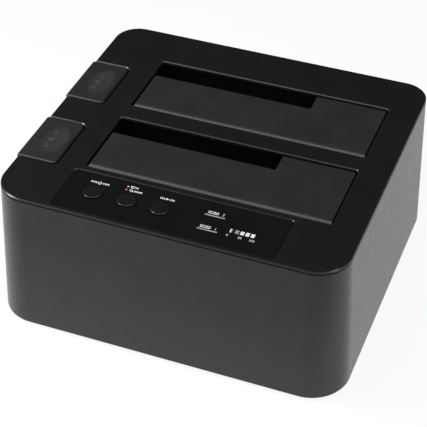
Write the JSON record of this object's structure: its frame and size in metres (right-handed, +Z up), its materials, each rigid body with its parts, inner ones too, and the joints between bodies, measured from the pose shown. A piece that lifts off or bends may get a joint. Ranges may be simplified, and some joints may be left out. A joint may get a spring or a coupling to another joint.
{
  "type": "hard drive docking station",
  "caption": "Hard drive docking station with sprung slot flaps, eject paddles that lift the drives, a strip with push buttons, and sockets at the back.",
  "frame": {"origin": "centre of the footprint at the underside of the feet", "axes": "+X to the right along the drive slots, +Y to the back where the sockets are, +Z up"},
  "size_m": [0.1522, 0.1408, 0.0663],
  "materials": {
    "case_plastic": "satin moulded plastic, dark grey",
    "cover_plastic": "finely textured moulded plastic, black",
    "base_plastic": "moulded plastic, black",
    "foot_rubber": "soft rubber, black",
    "steel": "plated steel",
    "strip_plastic": "glossy plastic, black",
    "button_plastic": "polished plastic, black",
    "lens_plastic": "milky clear plastic",
    "board_laminate": "glass laminate with green lacquer",
    "inner_plastic": "moulded plastic, black",
    "can_metal": "satin can",
    "ribbon_plastic": "flexible flat cable, grey",
    "flap_plastic": "finely textured moulded plastic, black",
    "well_plastic": "moulded plastic, black",
    "paddle_plastic": "satin moulded plastic, near black",
    "lever_plastic": "natural slippery plastic"
  },
  "bodies": {
    "dock": {"base_plate": "base_plastic", "bay_1_flap_spring": "steel", "bay_1_hinge_pin": "steel", "bay_1_well": "well_plastic", "bay_2_flap_spring": "steel", "bay_2_hinge_pin": "steel", "bay_2_well": "well_plastic", "bay_lenses": "lens_plastic", "body_shell": "case_plastic", "bridge_chip": "inner_plastic", "capacitors": "can_metal", "case_screws": "steel", "control_panel": "strip_plastic", "crystal": "steel", "eject_1_lever_pin": "steel", "eject_1_spring": "steel", "eject_2_lever_pin": "steel", "eject_2_spring": "steel", "esata_port": "steel", "front_left_foot": "foot_rubber", "front_right_foot": "foot_rubber", "indicator_lamps": "lens_plastic", "inductor": "inner_plastic", "main_board": "board_laminate", "main_board_screws": "steel", "main_header": "inner_plastic", "memory_chips": "inner_plastic", "mode_lenses": "lens_plastic", "mode_switch": "inner_plastic", "panel_board": "board_laminate", "panel_board_screws": "steel", "panel_header": "inner_plastic", "panel_ribbon": "ribbon_plastic", "power_jack": "inner_plastic", "power_switch": "inner_plastic", "progress_lenses": "lens_plastic", "rear_left_foot": "foot_rubber", "rear_right_foot": "foot_rubber", "sata_receptacle_1": "inner_plastic", "sata_receptacle_2": "inner_plastic", "start_switch": "inner_plastic", "top_cover": "cover_plastic", "usb_port": "steel", "well_screws": "steel"},
    "bay_1_flap": {"bay_1_flap": "flap_plastic"},
    "eject_1_paddle": {"eject_1_paddle": "paddle_plastic"},
    "eject_1_lever": {"eject_1_lever": "lever_plastic"},
    "bay_2_flap": {"bay_2_flap": "flap_plastic"},
    "eject_2_paddle": {"eject_2_paddle": "paddle_plastic"},
    "eject_2_lever": {"eject_2_lever": "lever_plastic"},
    "power_button": {"power_button": "button_plastic", "power_plunger": "inner_plastic"},
    "mode_button": {"mode_button": "button_plastic", "mode_plunger": "inner_plastic"},
    "start_button": {"start_button": "button_plastic", "start_plunger": "inner_plastic"}
  },
  "joints": [
    {"name": "bay_1_flap_hinge", "type": "hinge", "parent": "dock", "child": "bay_1_flap", "pos_m": [0, -0.0348, 0.0626], "axis": [-1, 0, 0], "range_deg": [0, 88], "stiffness_Nm_per_rad": 0.003, "springref_deg": -57.3, "deforming": ["bay_1_flap_spring"]},
    {"name": "eject_1_press", "type": "slide", "parent": "dock", "child": "eject_1_paddle", "axis": [0, 0, -1], "range_m": [0, 0.006], "stiffness_N_per_m": 400, "springref_m": -0.003, "deforming": ["eject_1_spring"]},
    {"name": "eject_1_rock", "type": "hinge", "parent": "dock", "child": "eject_1_lever", "pos_m": [-0.0505, -0.0272, 0.0132], "axis": [0, -1, 0], "range_deg": [0, 26.25]},
    {"name": "bay_2_flap_hinge", "type": "hinge", "parent": "dock", "child": "bay_2_flap", "pos_m": [0, 0.0114, 0.0626], "axis": [-1, 0, 0], "range_deg": [0, 88], "stiffness_Nm_per_rad": 0.003, "springref_deg": -57.3, "deforming": ["bay_2_flap_spring"]},
    {"name": "eject_2_press", "type": "slide", "parent": "dock", "child": "eject_2_paddle", "axis": [0, 0, -1], "range_m": [0, 0.006], "stiffness_N_per_m": 400, "springref_m": -0.003, "deforming": ["eject_2_spring"]},
    {"name": "eject_2_rock", "type": "hinge", "parent": "dock", "child": "eject_2_lever", "pos_m": [-0.0505, 0.019, 0.0132], "axis": [0, -1, 0], "range_deg": [0, 26.25]},
    {"name": "power_press", "type": "slide", "parent": "dock", "child": "power_button", "axis": [0, 0, -1], "range_m": [0, 0.0005], "stiffness_N_per_m": 800, "springref_m": -0.0005},
    {"name": "mode_press", "type": "slide", "parent": "dock", "child": "mode_button", "axis": [0, 0, -1], "range_m": [0, 0.0005], "stiffness_N_per_m": 800, "springref_m": -0.0005},
    {"name": "start_press", "type": "slide", "parent": "dock", "child": "start_button", "axis": [0, 0, -1], "range_m": [0, 0.0005], "stiffness_N_per_m": 800, "springref_m": -0.0005}
  ],
  "couplings": [
    {"joint": "eject_1_rock", "follows": "eject_1_press", "rad_per_m": 76.336},
    {"joint": "eject_2_rock", "follows": "eject_2_press", "rad_per_m": 76.336}
  ]
}
